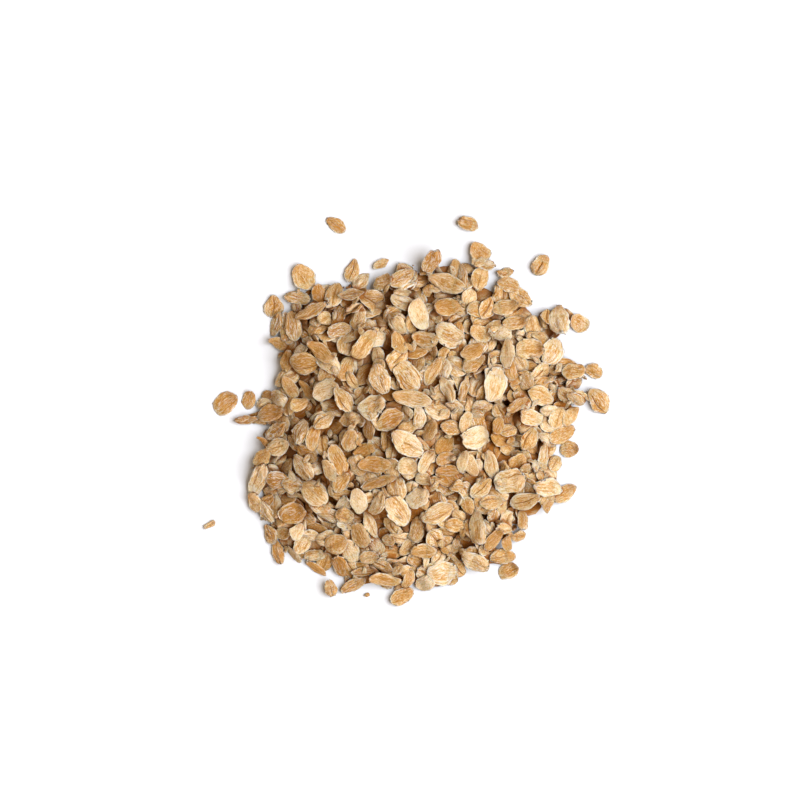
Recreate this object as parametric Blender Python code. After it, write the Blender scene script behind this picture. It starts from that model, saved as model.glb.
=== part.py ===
"""A loose heap of rolled oats on a flat surface, with the few flakes that lie clear of it.

Metres, +Z up. The origin is the middle of the whole on that surface, and +Y is the photograph's up.
The heap is one solid: a low core, and the flakes that show, laid on it one by one at true size.
Run it with: blender --background --python part.py
"""

import math
import random

import bmesh
import bpy
import numpy as np
from mathutils import Matrix, Vector

MM = 0.001
SEED = 11

# Driving dimensions, all from flakes that are about 8.3 mm long
HEAP_MIDDLE = Vector((1.1 * MM, -4.3 * MM, 0.0))
HEAP_HEIGHT = 25.0 * MM
# How far the heap reaches from its middle, every 15 degrees from +X, anticlockwise
HEAP_REACH = [
    reach * MM
    for reach in (
        *(60, 62.5, 65, 61.5, 65, 61),
        *(58, 54.5, 57, 64.5, 59, 49.5),
        *(51, 61, 66.5, 69, 65, 62),
        *(61.5, 59, 60, 58, 59, 56.5),
    )
]

CORE_INSET = 4.8 * MM  # how far the core's edge stays behind the heap's
CORE_TOP = HEAP_HEIGHT - 2.5 * MM
CORE_EDGE = 0.9 * MM  # height of the core's rim
CORE_STEEPNESS = 1.65  # power of the core's profile: 1 is a cone, 2 is a dome
CORE_LUMPS = 1.3 * MM  # how far its top rises and falls
LUMP_WAVES = ((95, 80), (61, 118))  # radians a metre, along x and y
CORE_FACES = 36
CORE_RINGS = 8

THICKNESS = 1.0 * MM
FLAKE_SIDES = 8
FLAKE_RINGS = 2
CREASE_DEPTH = 0.2 * MM  # the fold along a flake's middle
CREASE_SHARPNESS = 8.0
CURL = 0.35 * MM  # how far its ends bend up or down
FLAKE_LENGTH = (7.6 * MM, 11.4 * MM)
FLAKE_WIDTH = (0.58, 0.80)  # as a share of its length
LEAN = 10.0  # degrees, the spread of a flake's lean from what it rests on
STEEPEST = 1.1  # rise over run that no flake exceeds
TOUCH = 0.12  # share of a flake's area that is fused into what it rests on
SINK = 0.25 * MM
FLATTENING = 0.75
FLATTENINGS = 8
FLOOR_GAP = 0.06 * MM  # keeps flakes clear of the plane of the core's base

# The rim's rings of flakes, as how far in their middles are and how far apart
RIM_RINGS = ((3.9 * MM, 7.6 * MM), (10.2 * MM, 8.4 * MM))
TOP_INSET = 15.5 * MM
TOP_FLAKES = 126
SCATTER = 1.4 * MM  # how far a flake strays from an even spread
GROUND_STEP = 0.5 * MM  # grid for what each flake comes to rest on
GROUND_REACH = 80.0 * MM

# Flakes that stick out of the heap's edge: x, y, length and width in mm, turn in degrees
OUTLYING_FLAKES = (
    (-37.6, 46.9, 9.8, 8.6, 123),
    (-39.2, 40.2, 10.0, 6.2, 172),
    (-47.8, 37.2, 8.8, 7.6, 82),
    (-19.8, 48.6, 9.8, 6.0, 75),
    (8.3, 53.3, 9.8, 6.2, 58),
    (27.0, 53.6, 10.4, 4.8, 165),
    (26.3, 57.2, 9.4, 6.8, 140),
    (35.4, 45.2, 8.6, 6.0, 150),
    (35.3, 49.6, 7.0, 4.2, 8),
    (60.0, 30.6, 8.6, 7.2, 150),
    (54.4, 32.4, 12.0, 8.2, 96),
    (58.7, 13.0, 10.6, 6.2, 132),
    (61.6, 2.7, 10.4, 4.0, 8),
    (69.1, 3.6, 10.6, 7.2, 136),
    (50.0, -27.7, 11.8, 8.2, 175),
    (56.2, -30.4, 8.8, 6.0, 35),
    (34.2, -53.2, 9.8, 6.6, 0),
    (36.0, -57.0, 8.0, 6.2, 35),
    (12.2, -58.7, 11.4, 8.8, 140),
    (0.4, -60.8, 8.4, 5.0, 78),
    (-2.2, -66.6, 9.8, 6.2, 32),
    (-19.2, -62.0, 9.6, 5.6, 32),
    (-54.4, -25.2, 12.4, 6.6, 73),
    (-50.0, -0.6, 10.8, 7.4, 5),
    (-56.6, -3.0, 9.6, 4.0, 4),
    (-51.4, 3.6, 7.0, 5.2, 10),
    (-55.9, 3.4, 7.4, 5.6, 78),
)

# Flakes that lie clear of the heap, each a solid of its own
STRAY_FLAKES = {
    "stray_top_left": (-26.3, 67.0, 8.6, 5.2, 145),
    "stray_top_middle": (21.6, 67.7, 8.4, 5.4, 162),
    "stray_top_right": (48.2, 52.2, 8.4, 6.4, 59),
    "stray_top_chip": (-9.7, 52.9, 6.6, 3.4, 21),
    "stray_left": (-65.9, 2.5, 10.0, 7.6, 39),
    "stray_left_chip": (-71.6, -41.8, 4.8, 2.6, 38),
    "stray_right": (67.2, 14.2, 6.8, 5.6, 150),
    "stray_bottom": (-27.9, -64.3, 6.6, 4.8, 100),
}
STRAY_SIDES = 16
STRAY_RINGS = 4

TAN = (0.60, 0.39, 0.20, 1.0)
PALE = (0.76, 0.56, 0.35, 1.0)


def clear_scene():
    for obj in list(bpy.data.objects):
        bpy.data.objects.remove(obj, do_unlink=True)


def new_collection(name):
    collection = bpy.data.collections.new(name)
    bpy.context.scene.collection.children.link(collection)
    return collection


def oat_material(name, colour):
    material = bpy.data.materials.new(name)
    material.use_nodes = True
    shader = material.node_tree.nodes["Principled BSDF"]
    shader.inputs["Base Color"].default_value = colour
    shader.inputs["Roughness"].default_value = 0.82
    shader.inputs["Metallic"].default_value = 0.0
    return material


def new_object(name, mesh):
    data = bpy.data.meshes.new(name)
    mesh.to_mesh(data)
    mesh.free()
    return bpy.data.objects.new(name, data)


def heap_reach(angle):
    """The heap's radius at an angle, on a smooth curve through HEAP_REACH."""
    place = angle % math.tau / math.tau * len(HEAP_REACH)
    first = int(place)
    share = place - first
    low = HEAP_REACH[first % len(HEAP_REACH)]
    high = HEAP_REACH[(first + 1) % len(HEAP_REACH)]
    return low + (high - low) * share * share * (3 - 2 * share)


def core_height(x, y, share):
    """The height of the core's uneven dome at a share of the way out to its edge."""
    (wave_x, wave_y), (cross_x, cross_y) = LUMP_WAVES
    lumps = math.sin(x * wave_x) * math.cos(y * wave_y) + math.sin(x * cross_x - y * cross_y)
    rise = 1 - share**CORE_STEEPNESS
    return CORE_EDGE + rise * (CORE_TOP - CORE_EDGE + CORE_LUMPS * lumps / 2)


def make_core():
    """The upper half of a ball, spread to the core's reach and height, on a flat base."""
    mesh = bmesh.new()
    bmesh.ops.create_uvsphere(mesh, u_segments=CORE_FACES, v_segments=2 * CORE_RINGS, radius=1.0)
    below = [vertex for vertex in mesh.verts if vertex.co.z < -1e-4]
    bmesh.ops.delete(mesh, geom=below, context="VERTS")
    for vertex in mesh.verts:
        reach = heap_reach(math.atan2(vertex.co.y, vertex.co.x)) - CORE_INSET
        share = min(1.0, vertex.co.xy.length)
        x = HEAP_MIDDLE.x + vertex.co.x * reach
        y = HEAP_MIDDLE.y + vertex.co.y * reach
        vertex.co = (x, y, core_height(x, y, share))
    rim = [edge for edge in mesh.edges if edge.is_boundary]
    skirt = bmesh.ops.extrude_edge_only(mesh, edges=rim)["geom"]
    for item in skirt:
        if isinstance(item, bmesh.types.BMVert):
            item.co.z = 0.0
    bmesh.ops.holes_fill(mesh, edges=[edge for edge in mesh.edges if edge.is_boundary], sides=0)
    bmesh.ops.recalc_face_normals(mesh, faces=mesh.faces)
    return new_object("oat_heap", mesh)


def make_flake(name, length, width, sides, rings, draw):
    """One rolled grain: a flat lens with an uneven edge, a fold along its middle and a curl."""
    mesh = bmesh.new()
    bmesh.ops.create_uvsphere(mesh, u_segments=sides, v_segments=rings, radius=0.5)
    phase = draw.uniform(0, math.tau)
    uneven = draw.uniform(0.02, 0.07)
    curl = draw.uniform(-CURL, CURL)
    for vertex in mesh.verts:
        around = math.atan2(vertex.co.y, vertex.co.x)
        spread = 1 + uneven * (math.sin(3 * around + phase) + math.sin(5 * around - phase))
        along = vertex.co.x * spread
        across = vertex.co.y * spread
        height = vertex.co.z * THICKNESS + curl * (2 * along) ** 2
        if vertex.co.z > 0:
            height -= CREASE_DEPTH * max(0.0, 1 - CREASE_SHARPNESS * abs(across))
        vertex.co = (along * length, across * width, height)
    bmesh.ops.recalc_face_normals(mesh, faces=mesh.faces)
    return new_object(name, mesh)


class Ground:
    """What the flakes come to rest on: the core, the floor and the flakes already laid."""

    def __init__(self, core):
        line = np.arange(-GROUND_REACH, GROUND_REACH, GROUND_STEP)
        self.x, self.y = np.meshgrid(line, line, indexing="ij")
        hits = (core.ray_cast((x, y, GROUND_REACH), (0, 0, -1)) for x, y in zip(self.x.flat, self.y.flat))
        heights = [point.z if hit else 0.0 for hit, point, *_ in hits]
        self.height = np.array(heights).reshape(self.x.shape)

    def lay(self, flake, place, length, width, turn, draw):
        """Sets a flake down, leaning as what is below it does, and adds it to the ground."""
        out_x, out_y = self.x - place.x, self.y - place.y
        along = out_x * math.cos(turn) + out_y * math.sin(turn)
        across = out_y * math.cos(turn) - out_x * math.sin(turn)
        out = np.hypot(2 * along / length, 2 * across / width)
        inside = out < 1
        out_x, out_y = out_x[inside], out_y[inside]
        below = self.height[inside]
        thickness = THICKNESS * (1 - out[inside])

        rows = np.column_stack((np.ones_like(out_x), out_x, out_y))
        slope = Vector(np.linalg.lstsq(rows, below, rcond=None)[0][1:])
        if below.max() > 0:
            spread = math.tan(math.radians(LEAN))
            slope += Vector((draw.gauss(0, spread), draw.gauss(0, spread)))
        slope.length = min(slope.length, STEEPEST)
        # A flake at the heap's foot flattens until its outer end clears the floor
        for _ in range(FLATTENINGS):
            plane = slope.x * out_x + slope.y * out_y
            level = np.quantile(below - plane + thickness / 2, 1 - TOUCH) - SINK
            if (level + plane - thickness / 2).min() > 0:
                break
            slope *= FLATTENING
        self.height[inside] = np.maximum(below, level + plane + thickness / 2)

        normal = Vector((-slope.x, -slope.y, 1)).normalized()
        tip = Vector((0, 0, 1)).rotation_difference(normal).to_matrix().to_4x4()
        middle = Matrix.Translation((place.x, place.y, level))
        flake.matrix_world = middle @ tip @ Matrix.Rotation(turn, 4, "Z")
        lowest = min((flake.matrix_world @ vertex.co).z for vertex in flake.data.vertices)
        rise = max(0.0, FLOOR_GAP * (1 + draw.random()) - lowest)
        flake.matrix_world = Matrix.Translation((0, 0, rise)) @ flake.matrix_world


def ring_places(inset, spacing, draw):
    """Points along the heap's edge, evenly spaced and a little uneven."""
    around = math.tau * (sum(HEAP_REACH) / len(HEAP_REACH) - inset)
    count = round(around / spacing)
    for index in range(count):
        angle = index * math.tau / count
        reach = heap_reach(angle) - inset + draw.uniform(-SCATTER, SCATTER)
        yield HEAP_MIDDLE + Vector((math.cos(angle), math.sin(angle), 0)) * reach


def top_places(draw):
    """Points spread evenly over the heap by the golden angle, from its middle out."""
    golden = math.pi * (3 - math.sqrt(5))
    for index in range(TOP_FLAKES):
        angle = index * golden
        reach = (heap_reach(angle) - TOP_INSET) * math.sqrt((index + 0.5) / TOP_FLAKES)
        place = HEAP_MIDDLE + Vector((math.cos(angle), math.sin(angle), 0)) * reach
        yield place + Vector((draw.uniform(-SCATTER, SCATTER), draw.uniform(-SCATTER, SCATTER), 0))


def lay_flakes(core, collection, draw):
    """The rim's rings first, then the flakes that stick out, then the top with its largest first."""
    ground = Ground(core)

    def lay(places, lengths):
        for place, length in zip(places, lengths):
            lay_one(place, length, length * draw.uniform(*FLAKE_WIDTH), draw.uniform(0, math.pi))

    def lay_one(place, length, width, turn):
        name = f"flake_{len(collection.objects):03d}"
        flake = make_flake(name, length, width, FLAKE_SIDES, FLAKE_RINGS, draw)
        collection.objects.link(flake)
        ground.lay(flake, place, length, width, turn, draw)

    def lengths(count):
        return [draw.uniform(*FLAKE_LENGTH) for _ in range(count)]

    for inset, spacing in RIM_RINGS:
        places = list(ring_places(inset, spacing, draw))
        lay(places, lengths(len(places)))
    for x, y, length, width, turn in OUTLYING_FLAKES:
        lay_one(Vector((x, y, 0)) * MM, length * MM, width * MM, math.radians(turn))
    places = draw.sample(list(top_places(draw)), TOP_FLAKES)
    lay(places, sorted(lengths(TOP_FLAKES), reverse=True))


def largest_piece(data):
    """Keeps the largest connected surface, which fills sealed hollows and drops loose scraps."""
    mesh = bmesh.new()
    mesh.from_mesh(data)
    left = set(mesh.verts)
    pieces = []
    while left:
        piece = {left.pop()}
        front = list(piece)
        while front:
            vertex = front.pop()
            others = {edge.other_vert(vertex) for edge in vertex.link_edges} - piece
            piece |= others
            front.extend(others)
        left -= piece
        pieces.append(piece)
    largest = max(pieces, key=len)
    scraps = [vertex for piece in pieces if piece is not largest for vertex in piece]
    bmesh.ops.delete(mesh, geom=scraps, context="VERTS")
    mesh.to_mesh(data)
    mesh.free()


def fuse(core, collection):
    """Joins the flakes to the core by one Boolean union, and removes the separate flakes."""
    union = core.modifiers.new("flakes", "BOOLEAN")
    union.operation = "UNION"
    union.operand_type = "COLLECTION"
    union.collection = collection
    union.solver = "MANIFOLD"
    graph = bpy.context.evaluated_depsgraph_get()
    joined = bpy.data.meshes.new_from_object(core.evaluated_get(graph))
    core.modifiers.clear()
    core.data = joined
    for flake in list(collection.objects):
        bpy.data.objects.remove(flake, do_unlink=True)
    bpy.data.collections.remove(collection)
    largest_piece(core.data)


def make_heap(oats, material):
    core = make_core()
    oats.objects.link(core)
    flakes = new_collection("flakes to fuse")
    lay_flakes(core, flakes, random.Random(SEED))
    bpy.context.view_layer.update()
    fuse(core, flakes)
    core.data.materials.clear()
    core.data.materials.append(material)


def make_strays(oats, material):
    draw = random.Random(SEED)
    for name, (x, y, length, width, turn) in STRAY_FLAKES.items():
        flake = make_flake(name, length * MM, width * MM, STRAY_SIDES, STRAY_RINGS, draw)
        oats.objects.link(flake)
        flake.data.materials.append(material)
        flake.rotation_euler.z = math.radians(turn)
        flake.location = (x * MM, y * MM, -min(vertex.co.z for vertex in flake.data.vertices))


def main():
    clear_scene()
    oats = new_collection("rolled oats")
    make_heap(oats, oat_material("heap oats", TAN))
    make_strays(oats, oat_material("stray oats", PALE))


main()
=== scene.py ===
import math
import random

import bmesh
import bpy
import numpy as np
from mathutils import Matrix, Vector
from mathutils.bvhtree import BVHTree


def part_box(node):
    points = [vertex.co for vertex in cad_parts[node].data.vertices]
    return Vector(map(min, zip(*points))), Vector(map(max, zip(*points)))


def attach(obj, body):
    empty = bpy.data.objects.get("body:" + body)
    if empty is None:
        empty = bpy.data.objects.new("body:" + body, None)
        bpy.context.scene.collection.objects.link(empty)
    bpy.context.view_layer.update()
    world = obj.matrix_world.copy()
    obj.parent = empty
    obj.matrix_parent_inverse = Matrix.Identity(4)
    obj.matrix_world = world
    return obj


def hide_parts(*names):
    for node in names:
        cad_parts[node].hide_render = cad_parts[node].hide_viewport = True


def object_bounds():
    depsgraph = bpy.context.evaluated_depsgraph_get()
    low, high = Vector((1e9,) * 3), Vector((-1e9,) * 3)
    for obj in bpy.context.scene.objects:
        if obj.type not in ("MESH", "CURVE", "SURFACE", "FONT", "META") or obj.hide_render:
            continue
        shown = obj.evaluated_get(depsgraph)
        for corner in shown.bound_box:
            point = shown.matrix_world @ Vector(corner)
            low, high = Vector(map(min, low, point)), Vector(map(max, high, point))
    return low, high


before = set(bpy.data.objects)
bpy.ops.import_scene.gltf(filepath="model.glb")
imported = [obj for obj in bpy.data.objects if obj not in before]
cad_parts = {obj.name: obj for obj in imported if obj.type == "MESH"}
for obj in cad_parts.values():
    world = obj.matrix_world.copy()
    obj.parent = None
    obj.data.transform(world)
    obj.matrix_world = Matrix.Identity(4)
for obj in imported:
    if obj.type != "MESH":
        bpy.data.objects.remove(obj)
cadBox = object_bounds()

mm = 0.001
dice = random.Random(23)

# the picture that the flakes' places were read from
picture = {
    "middleColumn": 408,     # the pixel that lies over x = 0
    "middleRow": 410,        # the pixel that lies over y = 0
    "pixel": 0.36,           # mm of floor in one pixel
    "across": 800,
}

camera = {
    "height": 1200,          # mm above the floor
    "focusHeight": 8,        # mm, the level at which the picture's scale holds
    "sensor": 36,
}

pile = {
    "step": 0.3,             # mm between the points of the height map
    "coreDepth": 5.8,        # mm from the top of the loose flakes down to the core
    "coreMargin": 6.0,       # mm that the core keeps back from the outline
    "flakeMargin": 3.2,      # mm from the outline to the nearest flake's middle
    "looseFlakes": 1600,
    "tries": 26,             # places looked at for each flake, of which the lowest is taken
    "looseLevel": 0.77,      # share of the heap's mean height that the loose flakes fill
    "enough": 0.3,           # mm below that level at which a place counts as full
    "highest": 25.4,         # mm, no flake stands higher than this
    "steepest": 1.3,         # rise over run that a lying flake takes
    "touching": 0.97,        # share of the ground under a flake that it clears
    "steepShare": 0.16,      # flakes that are wedged on their edge
    "gap": (495, 281, 4.6),  # column, row and radius in mm of a gap that shows the table
    "nearRim": 0.66,         # share of covered cells round a place where a loose flake may lie
    "blurReach": 8,          # cells, for the mean height of the solid
    "topReach": 7,           # cells, for the mean height of the finished pile, below which points get painted shade
    "topSlack": 0.3,         # mm under that mean that still count as the top and get no painted shade
    "middleLevel": 18,       # mm, the solid is higher than this round its middle
}

looseSizes = {
    "length": (6.6, 10.6),   # mm
    "ratio": (0.56, 0.84),   # width over length
}

# each kind of flake: how it's pressed, bent and torn, lengths in mm and angles in degrees
flakeKinds = {
    "creased": {
        "models": 12, "length": 8.6, "width": 6.0, "thick": 0.9, "thinRim": 0.25, "under": 0.5,
        "crease": 0.5, "tight": 0.5,
        "ridge": 0.14, "lump": 0.045, "fray": 0.42, "point": 0.22, "tip": 0.1, "bow": 0.07,
        "curl": (-55, 25), "cup": (-60, 20),
        "twist": 22, "nicks": (1, 2, 3), "tears": (0, 0, 0, 1), "tearAt": 0.40, "wave": 0.6, "share": 0.34,
    },
    "ridged": {
        "models": 9, "length": 8.4, "width": 5.6, "thick": 0.9, "thinRim": 0.25, "under": 0.5,
        "crease": 0.75, "tight": 0.2,
        "ridge": 0.38, "lump": 0.06, "fray": 0.5, "point": 0.28, "tip": 0.12, "bow": 0.1,
        "curl": (-55, 45), "cup": (-60, 50),
        "twist": 30, "nicks": (1, 2, 3, 4), "tears": (0, 0, 1), "tearAt": 0.38, "wave": 0.9, "share": 0.24,
    },
    "smooth": {
        "models": 9, "length": 8.2, "width": 5.6, "thick": 0.85, "thinRim": 0.3, "under": 0.45,
        "crease": 1.0, "tight": 0.0,
        "ridge": 0.1, "lump": 0.045, "fray": 0.28, "point": 0.25, "tip": 0.08, "bow": 0.08,
        "curl": (5, 55), "cup": (5, 55),
        "twist": 16, "nicks": (0, 1, 1, 2), "tears": (0, 0, 0, 1), "tearAt": 0.42, "wave": 0.5, "share": 0.2,
    },
    "wide": {
        "models": 7, "length": 9.2, "width": 7.4, "thick": 0.75, "thinRim": 0.2, "under": 0.6,
        "crease": 0.6, "tight": 0.2,
        "ridge": 0.26, "lump": 0.06, "fray": 0.55, "point": 0.05, "tip": 0.0, "bow": 0.05,
        "curl": (-40, 40), "cup": (-45, 45),
        "twist": 24, "nicks": (2, 3, 4, 5), "tears": (0, 1), "tearAt": 0.42, "wave": 1.1, "share": 0.08,
    },
    "chip": {
        "models": 8, "length": 6.4, "width": 5.2, "thick": 0.8, "thinRim": 0.3, "under": 0.6,
        "crease": 0.5, "tight": 0.2,
        "ridge": 0.3, "lump": 0.07, "fray": 0.40, "point": 0.0, "tip": 0.0, "bow": 0.08,
        "curl": (-40, 40), "cup": (-45, 45),
        "twist": 24, "nicks": (1, 2), "tears": (1, 2), "tearAt": 0.28, "wave": 0.8, "share": 0.14,
    },
}
fineMesh = {"sides": 28, "rings": 20}
plainMesh = {"sides": 16, "rings": 10}

# broken bits: how many under and over the flakes seen, and how near to the rim they may lie
bits = {"under": 110, "over": 80, "underRim": 0.7, "overRim": 0.8, "length": (2.4, 4.8), "ratio": (0.35, 0.75),
        "tries": 4}
crumbs = {"models": 5, "onTop": 14, "roundRim": 3, "size": (0.7, 2.0), "reach": 3.0,
          "single": (367, 596, 2.0)}     # column, row and size in mm of the one crumb that lies apart

# tone: 0 is golden brown, 1 is nearly white
tones = {"creased": (0.35, 0.95), "ridged": (0.4, 1.0), "smooth": (0.15, 0.85),
         "wide": (0.5, 1.0), "chip": (0.3, 1.0)}

# flakes seen in the picture: kind, column, row, length and width in mm, turn in degrees, tone
rimFlakes = [
    ("smooth", 303, 277, 9.7, 8.6, 123, 0.55), ("creased", 273, 306, 8.6, 7.6, 85, 0.5),
    ("smooth", 278, 343, 7.2, 4.3, 150, 0.4), ("ridged", 276, 324, 9.4, 4.7, 72, 0.5),
    ("creased", 293, 326, 11.5, 6.1, 100, 0.55), ("wide", 297, 297, 9.4, 5.0, 170, 0.6),
    ("smooth", 287, 361, 8.3, 5.4, 75, 0.4), ("smooth", 267, 395, 4.7, 3.6, 0, 0.2),
    ("chip", 263, 403, 6.1, 4.7, 30, 0.9), ("smooth", 271, 412, 10.8, 6.8, 10, 0.15),
    ("smooth", 248, 400, 7.2, 5.0, 70, 0.3), ("ridged", 246, 420, 9.0, 3.6, 5, 0.3),
    ("smooth", 290, 388, 8.6, 5.0, 125, 0.5), ("ridged", 276, 431, 9.7, 5.8, 35, 0.4),
    ("smooth", 264, 442, 5.4, 2.2, 135, 0.0), ("creased", 278, 447, 8.3, 6.8, 20, 0.75),
    ("smooth", 262, 458, 7.9, 5.8, 40, 0.5), ("wide", 258, 480, 13.0, 6.5, 68, 0.85),
    ("chip", 266, 502, 7.2, 4.7, 30, 0.3), ("ridged", 265, 513, 10.1, 5.0, 120, 0.95),
    ("smooth", 283, 534, 6.8, 4.7, 0, 0.45), ("creased", 277, 553, 9.0, 4.7, 103, 0.15),
    ("wide", 302, 545, 7.2, 6.1, 50, 0.7), ("smooth", 316, 569, 9.0, 3.0, 145, 0.3),
    ("ridged", 314, 556, 7.9, 4.3, 10, 0.9), ("smooth", 340, 566, 9.4, 5.8, 110, 0.05),
    ("ridged", 363, 572, 9.0, 3.6, 5, 0.5), ("creased", 353, 586, 9.7, 4.7, 25, 0.5),
    ("smooth", 385, 580, 11.9, 4.7, 170, 0.45), ("creased", 402, 597, 9.7, 5.8, 30, 0.5),
    ("creased", 409, 579, 7.9, 4.3, 78, 0.5), ("wide", 442, 574, 10.8, 9.4, 0, 0.9),
    ("creased", 475, 562, 11.2, 6.8, 155, 0.85), ("smooth", 509, 572, 7.6, 6.1, 30, 0.45),
    ("creased", 503, 557, 9.7, 6.1, 0, 0.5), ("chip", 519, 537, 5.8, 4.3, 0, 0.5),
    ("creased", 523, 519, 6.8, 4.0, 95, 0.5), ("ridged", 549, 503, 7.2, 3.6, 65, 0.6),
    ("smooth", 565, 494, 8.6, 6.1, 35, 0.5), ("wide", 547, 487, 11.5, 7.2, 175, 0.85),
    ("creased", 525, 501, 11.5, 6.8, 18, 0.8), ("ridged", 544, 455, 10.1, 4.0, 80, 0.7),
    ("smooth", 570, 449, 6.8, 6.5, 0, 0.5), ("smooth", 562, 434, 10.1, 7.2, 30, 0.45),
    ("creased", 558, 418, 8.6, 6.5, 70, 0.75), ("smooth", 594, 395, 6.0, 4.0, 20, 0.4),
    ("ridged", 566, 395, 7.6, 5.4, 150, 0.7), ("creased", 600, 400, 10.8, 7.9, 130, 0.45),
    ("creased", 574, 371, 9.0, 6.1, 10, 0.55), ("wide", 553, 352, 10.1, 8.6, 60, 0.8),
    ("smooth", 580, 323, 7.9, 6.5, 150, 0.5), ("creased", 559, 320, 11.9, 8.3, 95, 0.85),
    ("smooth", 514, 323, 8.3, 5.4, 10, 0.5), ("smooth", 505, 307, 9.7, 6.1, 10, 0.6),
    ("creased", 520, 296, 10.8, 6.5, 135, 0.6), ("smooth", 509, 284, 8.6, 5.8, 160, 0.5),
    ("ridged", 506, 272, 6.8, 4.0, 10, 0.6), ("smooth", 455, 270, 8.6, 5.0, 80, 0.6),
    ("ridged", 463, 277, 10.4, 3.6, 95, 0.6), ("creased", 480, 278, 9.7, 6.8, 65, 0.6),
    ("ridged", 484, 263, 9.4, 4.3, 165, 0.95), ("smooth", 480, 252, 8.0, 6.8, 140, 0.4),
    ("smooth", 447, 283, 13.0, 7.2, 160, 0.6), ("wide", 432, 261, 9.7, 6.1, 60, 0.15),
    ("creased", 402, 277, 10.4, 5.8, 30, 0.5), ("smooth", 383, 282, 7.9, 5.4, 20, 0.5),
    ("chip", 360, 280, 7.6, 6.1, 60, 0.9), ("creased", 352, 270, 9.0, 5.4, 72, 0.5),
    ("ridged", 312, 311, 13.0, 5.0, 25, 0.5), ("smooth", 319, 294, 6.5, 5.5, 100, 0.0),
    ("creased", 334, 294, 9.0, 6.5, 75, 0.6), ("ridged", 352, 294, 9.5, 4.6, 8, 0.65),
    ("ridged", 575, 399, 7.5, 4.2, 150, 0.8), ("smooth", 571, 416, 8.0, 5.0, 60, 0.6),
    ("creased", 270, 535, 8.0, 5.0, 110, 0.45), ("smooth", 254, 503, 8.0, 5.0, 110, 0.5),
]
lowerFlakes = [
    ("smooth", 399, 325, 7.6, 4.7, 115, 0.85), ("smooth", 398, 344, 8.3, 5.4, 115, 0.5),
    ("smooth", 432, 371, 11.5, 5.0, 60, 0.5), ("smooth", 412, 399, 14.0, 6.5, 170, 0.6),
    ("creased", 344, 399, 10.8, 6.5, 125, 0.6), ("creased", 366, 344, 13.0, 6.5, 55, 0.6),
    ("smooth", 472, 352, 9.0, 6.1, 25, 0.3), ("ridged", 464, 388, 10.8, 3.6, 70, 0.6),
    ("smooth", 480, 334, 8.3, 6.1, 150, 0.6), ("smooth", 529, 349, 9.7, 7.9, 0, 0.6),
    ("ridged", 517, 405, 10.1, 4.3, 30, 0.35), ("smooth", 530, 417, 10.1, 6.1, 170, 0.7),
    ("wide", 540, 395, 9.7, 7.2, 160, 0.8), ("creased", 530, 439, 9.4, 6.5, 65, 0.45),
    ("smooth", 504, 471, 8.6, 3.6, 80, 0.5), ("creased", 492, 502, 9.4, 5.8, 10, 0.6),
    ("chip", 457, 485, 5.4, 4.7, 0, 0.5), ("smooth", 448, 470, 9.0, 4.3, 178, 0.0),
    ("smooth", 445, 458, 7.2, 4.7, 15, 0.15), ("smooth", 507, 543, 6.5, 4.0, 110, 0.2),
    ("chip", 504, 528, 6.5, 4.3, 0, 0.85), ("smooth", 424, 551, 9.7, 5.8, 175, 0.5),
    ("smooth", 417, 530, 9.0, 5.4, 80, 0.5), ("smooth", 389, 540, 5.0, 4.7, 0, 0.6),
    ("ridged", 379, 502, 9.7, 5.4, 65, 0.7), ("smooth", 407, 465, 7.2, 6.5, 0, 0.8),
    ("smooth", 423, 478, 5.8, 4.7, 0, 0.8), ("wide", 345, 515, 7.2, 6.1, 160, 0.5),
    ("creased", 360, 535, 10.1, 6.8, 110, 0.6), ("creased", 336, 544, 9.0, 7.9, 30, 0.5),
    ("smooth", 341, 481, 9.0, 5.4, 55, 0.4), ("creased", 277, 480, 8.6, 6.8, 0, 0.1),
    ("creased", 303, 467, 10.8, 6.5, 130, 0.7), ("smooth", 307, 391, 8.6, 3.6, 125, 0.3),
    ("smooth", 313, 438, 8.6, 5.0, 80, 0.35), ("ridged", 300, 432, 10.1, 6.5, 70, 0.6),
    ("creased", 304, 364, 10.8, 8.6, 3, 0.5), ("smooth", 298, 404, 6.5, 5.4, 20, 0.5),
    ("smooth", 426, 340, 8.3, 6.0, 170, 0.6), ("ridged", 340, 330, 9.0, 5.4, 20, 0.6),
    ("creased", 325, 420, 9.0, 6.0, 40, 0.6), ("smooth", 510, 370, 8.0, 4.5, 100, 0.3),
    ("smooth", 430, 430, 8.3, 5.2, 60, 0.5), ("creased", 350, 440, 8.6, 5.8, 80, 0.5),
]
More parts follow.
